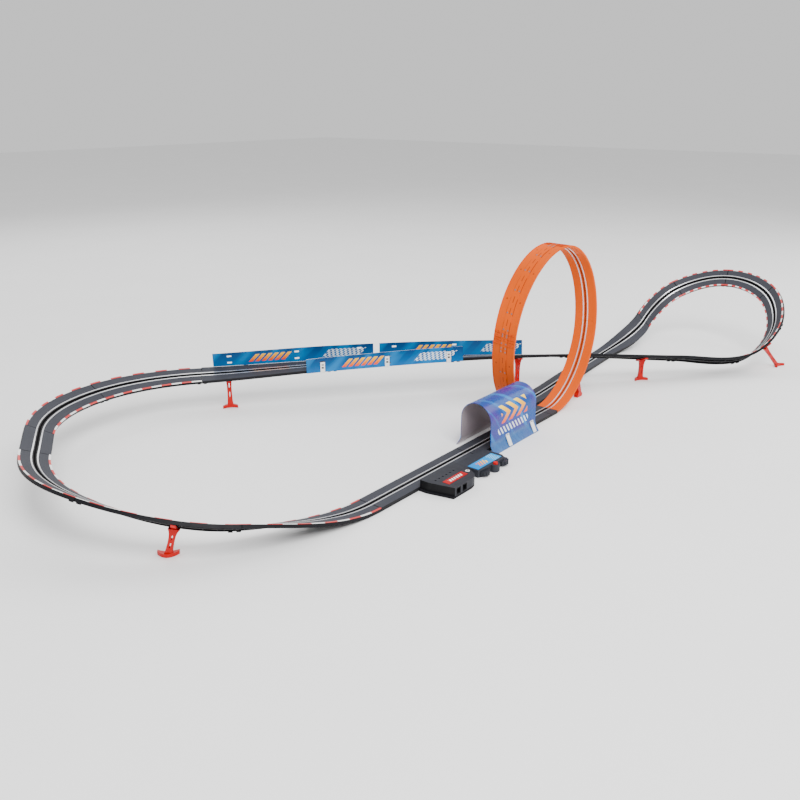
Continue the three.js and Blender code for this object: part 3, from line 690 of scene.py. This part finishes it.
# one kind per side of the section: 0 road, 1 edge, 2 slot
ROAD_HALF_KINDS = [2, 2, 0, 1, 1, 1, 1, 1, 1]
ROAD_KINDS = ROAD_HALF_KINDS + [1] + ROAD_HALF_KINDS[::-1] + [2]
ROAD_STEP = 9.0
RIB = dict(spacing=38.0, half=0.8, inner=3.3, bottom=-5.6, top=-2.5)
LUMP = dict(from_end=8.0, half=4.0, inner=5.0, outer=0.4, drop=2.2, overlap=0.3, clear=24.0)
RAIL_INNER, RAIL_OUTER, RAIL_PROUD, RAIL_SUNK = 4.8, 7.6, 0.35, 0.2
KERB_WIDTH, KERB_PROUD, KERB_DEPTH, KERB_OVERHANG = 4.0, 0.3, 0.7, 0.1


def both_sides(inner, outer):
    """The same stretch on the right and on the left of the middle."""
    return (-outer, -inner), (inner, outer)


def from_both_ends(distances, length):
    """The places at these distances from the start, and then from the end."""
    shares = [distance / length for distance in distances]
    return shares + [1 - share for share in shares]


def strip_section(low, high, bottom, top, side):
    return [(side * low, bottom), (side * high, bottom), (side * high, top), (side * low, top)]


def add_ribs(bm, frame_at, length):
    """Cross ribs under the deck."""
    count = max(1, round(length / RIB["spacing"]))
    for k in range(count):
        for near, far in both_sides(RIB["inner"], ROAD_EDGE - SKIRT_WIDTH - 0.05):
            low = (-RIB["half"], near, RIB["bottom"])
            high = (RIB["half"], far, RIB["top"])
            block_into(bm, frame_at, (k + 0.5) / count, low, high, 1)


def add_lumps(bm, frame_at, length):
    """Connector lumps under the ends, where the road stands clear of the floor."""
    for t in from_both_ends([LUMP["from_end"]], length):
        if frame_at(t)[0].z < LUMP["clear"]:
            continue
        for near, far in both_sides(ROAD_EDGE - LUMP["inner"], ROAD_EDGE - LUMP["outer"]):
            low = (-LUMP["half"], near, -TRACK_DEPTH - LUMP["drop"])
            high = (LUMP["half"], far, -TRACK_DEPTH + LUMP["overlap"])
            block_into(bm, frame_at, t, low, high, 1)


def build_rails(name, frame_at, length, steps):
    """The two metal conductor strips beside the slot."""
    bm = bmesh.new()
    for side in (-1, 1):
        section = strip_section(RAIL_INNER, RAIL_OUTER, -RAIL_SUNK, RAIL_PROUD, side)
        sweep_into(bm, section, frame_at, length, steps, JOINT_GAP)
    finish_mesh(name + "_rails", bm, [rail])


def build_kerbs(name, frame_at, length, steps):
    """The painted strips along both edges of a curve."""
    bm = bmesh.new()
    low, high = ROAD_EDGE - KERB_WIDTH, ROAD_EDGE + KERB_OVERHANG
    for side in (-1, 1):
        section = strip_section(low, high, -KERB_DEPTH, KERB_PROUD, side)
        sweep_into(bm, section, frame_at, length, steps, JOINT_GAP / 2)
    paint = kerb_left if name.startswith("left") else kerb_right
    finish_mesh(name + "_kerbs", bm, [paint])


def build_road(name, frame_at, length, kerbs, raised):
    """One track piece, in place of its CAD node, with its rails and kerbs."""
    steps = max(6, math.ceil(length / ROAD_STEP))
    bm = bmesh.new()
    # the slot's faces and the seam rings at both ends take the near-black painted shade
    sweep_into(bm, ROAD_SECTION, frame_at, length, steps, JOINT_GAP / 2, ROAD_KINDS, seam=2)
    add_ribs(bm, frame_at, length)
    if raised:
        add_lumps(bm, frame_at, length)
    piece = finish_mesh(name + "_road", bm, [road, skirt, recess_shade])
    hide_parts(name)
    build_rails(name, frame_at, length, steps)
    if kerbs:
        build_kerbs(name, frame_at, length, steps)


for road_piece in list_roads():
    build_road(*road_piece)

# ---------------------------------------------------------------- the loop
LOOP_HALF = [
    (1.5, -2.4),
    (1.5, -0.4),
    (1.9, 0.0),
    (ROAD_EDGE - 0.6, 0.0),
    (ROAD_EDGE, -0.5),
    (ROAD_EDGE, -5.0),
    (ROAD_EDGE - 0.5, -5.4),
    (ROAD_EDGE - 1.8, -5.4),
    (ROAD_EDGE - 2.2, -4.2),
    (10.2, -4.2),
    (9.7, -5.4),
]
LOOP_SECTION = mirrored(LOOP_HALF)
# one kind per side of the section: 0 running face, 1 slot, 2 outer face
LOOP_HALF_KINDS = [1, 1, 0, 0, 0, 2, 2, 2, 2, 2]
LOOP_KINDS = LOOP_HALF_KINDS + [2] + LOOP_HALF_KINDS[::-1] + [1]
LOOP_STEPS = 48
LOOP_RIB = dict(from_end=(3.0, 12.0), half=0.7, bottom=-6.2, top=-4.0)
LOOP_LUG = dict(from_end=7.5, half=2.4, inner=15.0, outer=22.0, bottom=-5.0, top=-4.0)
TAB = dict(spacing=50.0, first=28.0, near_ends=(10.0, 20.0), x=6.3, radius=2.4, low=-5.3, high=-5.9)


def add_loop_ribs(bm, frame_at, length):
    """Cross ribs and square lugs near the joints, on the outer face."""
    half = LOOP_RIB["half"]
    reach = ROAD_EDGE - 0.3
    for t in from_both_ends(LOOP_RIB["from_end"], length):
        low, high = (-half, -reach, LOOP_RIB["bottom"]), (half, reach, LOOP_RIB["top"])
        block_into(bm, frame_at, t, low, high)
    half = LOOP_LUG["half"]
    for t in from_both_ends([LOOP_LUG["from_end"]], length):
        for near, far in both_sides(LOOP_LUG["inner"], LOOP_LUG["outer"]):
            low, high = (-half, near, LOOP_LUG["bottom"]), (half, far, LOOP_LUG["top"])
            block_into(bm, frame_at, t, low, high)


def build_tabs(name, frame_at, length):
    """Pairs of round metal tabs along the outer face, closer together near the joints."""
    bm = bmesh.new()
    count = int((length - 30.0) / TAB["spacing"]) + 1
    runs = [k * TAB["spacing"] + TAB["first"] for k in range(count)]
    runs += [length - distance for distance in TAB["near_ends"]]
    runs += TAB["near_ends"]
    for run in runs:
        for side in (-1, 1):
            x = side * TAB["x"]
            disc_into(bm, frame_at, run / length, x, TAB["radius"], TAB["low"], TAB["high"])
    finish_mesh(name + "_tabs", bm, [stud_metal])


def build_loop_quarter(number):
    """One quarter of the loop, in place of its CAD node, with its rails and tabs."""
    name = f"loop_quarter_{number + 1}"
    length = (LOOP_REACH + LOOP_RISE) / 2 * math.pi / 2
    frame_at = lambda t: loop_frame((number + t) * math.pi / 2)
    bm = bmesh.new()
    sweep_into(bm, LOOP_SECTION, frame_at, length, LOOP_STEPS, JOINT_GAP / 2, LOOP_KINDS)
    add_loop_ribs(bm, frame_at, length)
    # the slot's faces take the darker orange painted shade
    piece = finish_mesh(name + "_strip", bm, [orange, orange_slot_shade, orange_back])
    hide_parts(name)
    build_rails(name, frame_at, length, LOOP_STEPS)
    build_tabs(name, frame_at, length)


for quarter in range(4):
    build_loop_quarter(quarter)

# ---------------------------------------------------------------- side walls
BRIDGE_START = 6  # where the bridge begins in the circuit
WALL_STEPS = 80
HOLE_WIDTH, HOLE_HEIGHT = 12.0, 4.4
HOLE_PLACES, HOLE_LEVELS = (0.10, 0.515, 0.91), (10.0, 30.0)
# Each wall's name, side, start and end in bridge straights, and how far it hangs below the road.
WALLS = [
    ("wall_far_left", 1, 0.09, 1.36, 0.0),
    ("wall_far_right", 1, 1.41, 2.63, 0.0),
    ("wall_near", -1, 0.8, 2.06, 8.0),
]


def bridge_frame(place_on_bridge):
    """The frame on the bridge, with the place counted in straights from its left end."""
    index = min(math.floor(place_on_bridge), 3)
    return circuit_frame(BRIDGE_START + index, place_on_bridge - index)


def cut_holes(piece, cutter):
    """Cuts one mesh from another for good, so that no modifier stays on the piece."""
    holes = piece.modifiers.new("holes", "BOOLEAN")
    holes.object = cutter
    holes.solver = "EXACT"
    graph = bpy.context.evaluated_depsgraph_get()
    piece.data = bpy.data.meshes.new_from_object(piece.evaluated_get(graph))
    piece.data.set_sharp_from_angle(angle=SHARP_ANGLE)
    piece.modifiers.clear()
    bpy.data.objects.remove(cutter)


def build_wall(name, side, start, end, drop):
    """A printed side wall with its holes, in place of its CAD node."""
    length = (end - start) * STRAIGHT
    frame_at = lambda t: bridge_frame(start + t * (end - start))
    inner = side * (TRACK_WIDTH / 2 + JOINT_GAP)
    outer = inner + side * WALL_THICKNESS
    top = WALL_HEIGHT - drop
    section = [(inner, -drop), (outer, -drop), (outer, top), (inner, top)]
    heights = [0.0, 0.0, WALL_HEIGHT, WALL_HEIGHT]
    bm = bmesh.new()
    sweep_into(bm, section, frame_at, length, WALL_STEPS, kinds=[1, 0, 1, 0], across=heights)
    piece = finish_mesh(name + "_card", bm, [wall_print, wall_edge])
    bm = bmesh.new()
    near, far = sorted((inner - side * 2, outer + side * 2))
    for t in HOLE_PLACES:
        for level in HOLE_LEVELS:
            bottom = level - drop - HOLE_HEIGHT / 2
            low = (-HOLE_WIDTH / 2, near, bottom)
            high = (HOLE_WIDTH / 2, far, bottom + HOLE_HEIGHT)
            block_into(bm, frame_at, t, low, high)
    cut_holes(piece, finish_mesh(name + "_cutter", bm, [wall_edge], body=None))
    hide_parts(name)


for wall in WALLS:
    build_wall(*wall)


# ---------------------------------------------------------------- tunnel
TUNNEL_STEPS = 24


def lie_flat(x, y, z, length=0.0):
    """A level frame with its tangent along +X, that moves by length as t goes from 0 to 1."""
    directions = Vector((1, 0, 0)), Vector((0, 1, 0)), Vector((0, 0, 1))
    return lambda t: (Vector((x + length * t, y, z)), *directions)


def tunnel_outline(offset, arc_steps=36, bend_steps=8):
    """The sheet's profile from its far foot to its near one."""
    half, rise = TUNNEL["half"] + offset, TUNNEL["height"] - TUNNEL["half"]
    foot = []
    for k in range(bend_steps):
        t = k / bend_steps
        foot.append((half + TUNNEL_FLARE * (1 - t) ** 1.6, TUNNEL["bend"] * t))
    angles = [math.pi * k / arc_steps for k in range(arc_steps + 1)]
    arch = [(half * math.cos(angle), rise + half * math.sin(angle)) for angle in angles]
    return foot + arch + [(-x, y) for x, y in reversed(foot)]


def build_tunnel():
    """The arched printed sheet, in place of its CAD node."""
    outer = tunnel_outline(TUNNEL["thickness"])
    inner = tunnel_outline(0.0)
    arc = [0.0]
    for a, b in zip(outer, outer[1:]):
        arc.append(arc[-1] + math.hypot(b[0] - a[0], b[1] - a[1]))
    from_near_foot = [arc[-1] - run for run in arc]
    count = len(outer)
    kinds = [0] * (count - 1) + [1] * (count + 1)
    frame_at = lie_flat(TUNNEL["start"], 0, 0, TUNNEL["length"])
    across = from_near_foot + from_near_foot[::-1]
    bm = bmesh.new()
    section = outer + inner[::-1]
    steps = TUNNEL_STEPS
    sweep_into(bm, section, frame_at, TUNNEL["length"], steps, kinds=kinds, across=across)
    piece = finish_mesh("tunnel_card", bm, [tunnel_print, tunnel_inside])
    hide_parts("tunnel_sheet")


build_tunnel()

# ---------------------------------------------------------------- printed mark and painted shade in the clip slots
ROUND_MARK = dict(x=-456, y=-82, z=24.0, radius=5.0, height=0.35, eye=2.6, eye_height=0.5)
CLIP_SLOTS = dict(half=3.0, levels=((3.0, 7.5), (12.0, 15.0)))
TUNNEL_SLOT = dict(half=2.6, level=(27.0, 28.8))
SLOT_PROUD, SLOT_DEPTH = 0.15, 0.6


def build_round_mark():
    """A white ring printed on the control unit, to the right of its label."""
    bm = bmesh.new()
    mark = ROUND_MARK
    where = lie_flat(mark["x"], mark["y"], mark["z"])
    disc_into(bm, where, 0, 0, mark["radius"], 0.0, mark["height"], sides=28)
    disc_into(bm, where, 0, 0, mark["eye"], 0.0, mark["eye_height"], sides=20, kind=1)
    piece = finish_mesh("control_round_mark", bm, [white, housing])


def build_clip_slot_shade():
    """Dark blocks in the faces of the clips that can be seen from the near side: painted shade in
    their slots.
    """
    bm = bmesh.new()
    half = CLIP_SLOTS["half"]
    face = -(TRACK_WIDTH / 2 + WALL_THICKNESS + 2 * JOINT_GAP + CLIP_THICKNESS)
    for place_on_bridge in NEAR_CLIPS:
        where = lambda t, at=place_on_bridge: bridge_frame(at)
        for bottom, top in CLIP_SLOTS["levels"]:
            low, high = (-half, face - SLOT_PROUD, bottom), (half, face + SLOT_DEPTH, top)
            block_into(bm, where, 0, low, high)
    half = TUNNEL_SLOT["half"]
    bottom, top = TUNNEL_SLOT["level"]
    face = -(TUNNEL["half"] + TUNNEL["thickness"] + JOINT_GAP + CLIP_THICKNESS)
    for x in TUNNEL_CLIPS:
        low, high = (-half, -SLOT_PROUD, bottom), (half, SLOT_DEPTH, top)
        block_into(bm, lie_flat(x, face, 0), 0, low, high)
    piece = finish_mesh("clip_slot_shade", bm, [recess_shade])


build_round_mark()
build_clip_slot_shade()

# ---------------------------------------------------------------- pieces kept from the CAD model
EDGE_BEVEL, SUPPORT_BEVEL, CLIP_BEVEL = 0.0004, 0.0006, 0.0003
LOOKS = {
    "control_cover": cover_material(),
    "control_base": base,
    "control_label": label_material(),
    # the sockets take the near-black painted shade of the slots
    "socket_left": recess_shade,
    "socket_right": recess_shade,
    "counter_housing": housing,
    "counter_label": panel_material(),
    "counter_dial_left": dial,
    "counter_dial_right": dial,
    "counter_button": red,
}


def dress(node, material, bevel=EDGE_BEVEL):
    """Gives a CAD node its material and softens its edges with a modifier."""
    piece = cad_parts[node]
    piece.data.materials.clear()
    piece.data.materials.append(material)
    soft = piece.modifiers.new("soft_edges", "BEVEL")
    soft.width = bevel
    soft.segments = 2
    soft.limit_method = "ANGLE"
    soft.angle_limit = math.radians(40)


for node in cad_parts:
    if node.startswith("support") or node == "loop_brace":
        dress(node, red, SUPPORT_BEVEL)
    elif "clip" in node:
        dress(node, white, CLIP_BEVEL)
    elif node in LOOKS:
        dress(node, LOOKS[node])

# ---------------------------------------------------------------- floor, light and camera
FLOOR_REACH, FLOOR_DROP = 12.0, 0.0005
WORLD_STRENGTH = 0.85
# Each light's name, place, target, size and power.
LIGHTS = [
    ("key", (-1.6, -2.2, 3.2), (0, 0, 0.1), 2.5, 230),
    ("fill", (2.6, -1.2, 2.4), (0, 0, 0.1), 2.5, 80),
    ("back", (0.5, 3.0, 2.6), (0, 0, 0.2), 3.0, 60),
]
CAMERA_LENS = 37.52
CAMERA_PLACE, CAMERA_TARGET = (-1826.6, -1005.3, 780.3), (-146.9, 356.9, 0)


def stage_floor():
    """A plain pale floor just below the set."""
    bm = bmesh.new()
    bmesh.ops.create_grid(bm, x_segments=2, y_segments=2, size=FLOOR_REACH)
    m = Nodes("floor_look", 0.7)
    tone = m.mottled(3.0, (0.86, 0.86, 0.86), (0.88, 0.88, 0.88))
    floor = finish_mesh("floor", bm, [m.done(tone)], body=None)
    floor.location.z = -FLOOR_DROP


def stage_world():
    """Even white light from all round."""
    world = bpy.data.worlds.new("studio")
    bpy.context.scene.world = world
    world.use_nodes = True
    background = world.node_tree.nodes["Background"]
    background.inputs[0].default_value = (1.0, 1.0, 1.0, 1.0)
    background.inputs[1].default_value = WORLD_STRENGTH


def look_at(holder, place_at, target):
    holder.location = place_at
    holder.rotation_euler = (target - place_at).to_track_quat("-Z", "Y").to_euler()


def stage_light(name, place_at, target, size, power):
    light = bpy.data.lights.new(name, "AREA")
    light.size = size
    light.energy = power
    holder = bpy.data.objects.new(name, light)
    look_at(holder, Vector(place_at), Vector(target))
    bpy.context.scene.collection.objects.link(holder)


def stage_camera():
    camera = bpy.data.cameras.new("camera")
    camera.sensor_width = 36.0
    camera.lens = CAMERA_LENS
    camera.clip_end = 50.0
    viewer = bpy.data.objects.new("camera", camera)
    bpy.context.scene.collection.objects.link(viewer)
    look_at(viewer, place(Vector(CAMERA_PLACE)), place(Vector(CAMERA_TARGET)))
    bpy.context.scene.camera = viewer


stage_floor()
stage_world()
for light_row in LIGHTS:
    stage_light(*light_row)
stage_camera()
